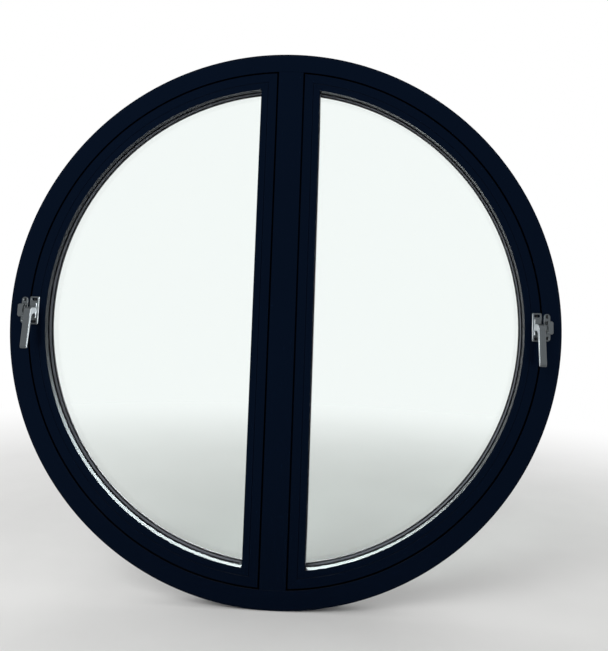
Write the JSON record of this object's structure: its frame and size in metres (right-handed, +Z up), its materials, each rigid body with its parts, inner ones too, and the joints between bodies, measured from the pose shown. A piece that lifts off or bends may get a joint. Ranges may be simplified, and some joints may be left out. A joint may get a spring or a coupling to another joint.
{
  "type": "round window",
  "caption": "Round double-glazed window: a bent metal ring frame with a central mullion and half-moon sashes that open outwards on side hinges and lock with turning lever handles.",
  "frame": {"origin": "centre of the round frame, half way through its depth", "axes": "+Z up along the mullion, +Y from the room to the weather side along the frame's axis, +X to the right seen from the room"},
  "size_m": [1.2998, 0.1175, 1.3],
  "materials": {
    "frame_coating": "satin dark navy powder coat on aluminium",
    "hinge_coating": "dark powder coat, satin",
    "handle_satin": "satin silver lacquer on a casting",
    "pin_steel": "plain",
    "clear_glass": "clear float",
    "spacer_bar": "mill, matt",
    "edge_sealant": "matt",
    "seal_rubber": "matt",
    "bare_aluminium": "mill"
  },
  "bodies": {
    "frame": {"outer_frame": "frame_coating", "mullion": "frame_coating", "left_frame_seal": "seal_rubber", "left_keeper": "handle_satin", "left_hinge_frame_leaf_upper": "hinge_coating", "left_hinge_frame_leaf_lower": "hinge_coating", "left_hinge_pin_upper": "pin_steel", "left_hinge_pin_lower": "pin_steel", "right_frame_seal": "seal_rubber", "right_keeper": "handle_satin", "right_hinge_frame_leaf_upper": "hinge_coating", "right_hinge_frame_leaf_lower": "hinge_coating", "right_hinge_pin_upper": "pin_steel", "right_hinge_pin_lower": "pin_steel"},
    "left_sash": {"left_sash_arc": "frame_coating", "left_sash_stile": "frame_coating", "left_bead_arc": "frame_coating", "left_bead_stile": "frame_coating", "left_pane_room": "clear_glass", "left_pane_weather": "clear_glass", "left_spacer": "spacer_bar", "left_edge_seal": "edge_sealant", "left_gasket_room": "seal_rubber", "left_gasket_weather": "seal_rubber", "left_cleat_top": "bare_aluminium", "left_cleat_bottom": "bare_aluminium", "left_handle_base": "handle_satin", "left_handle_rivet": "pin_steel", "left_hinge_sash_leaf_upper": "hinge_coating", "left_hinge_sash_leaf_lower": "hinge_coating"},
    "left_handle": {"left_handle_lever": "handle_satin"},
    "right_sash": {"right_sash_arc": "frame_coating", "right_sash_stile": "frame_coating", "right_bead_arc": "frame_coating", "right_bead_stile": "frame_coating", "right_pane_room": "clear_glass", "right_pane_weather": "clear_glass", "right_spacer": "spacer_bar", "right_edge_seal": "edge_sealant", "right_gasket_room": "seal_rubber", "right_gasket_weather": "seal_rubber", "right_cleat_top": "bare_aluminium", "right_cleat_bottom": "bare_aluminium", "right_handle_base": "handle_satin", "right_handle_rivet": "pin_steel", "right_hinge_sash_leaf_upper": "hinge_coating", "right_hinge_sash_leaf_lower": "hinge_coating"},
    "right_handle": {"right_handle_lever": "handle_satin"}
  },
  "joints": [
    {"name": "left_sash_hinge", "type": "hinge", "parent": "frame", "child": "left_sash", "pos_m": [-0.0135, 0.04, 0], "axis": [0, 0, -1], "range_deg": [0, 90]},
    {"name": "left_handle_turn", "type": "hinge", "parent": "left_sash", "child": "left_handle", "pos_m": [-0.591, -0.04, 0.0045], "axis": [0, -1, 0], "range_deg": [0, 90]},
    {"name": "right_sash_hinge", "type": "hinge", "parent": "frame", "child": "right_sash", "pos_m": [0.0135, 0.04, 0], "axis": [0, 0, 1], "range_deg": [0, 90]},
    {"name": "right_handle_turn", "type": "hinge", "parent": "right_sash", "child": "right_handle", "pos_m": [0.591, -0.04, 0.0045], "axis": [0, 1, 0], "range_deg": [0, 90]}
  ]
}
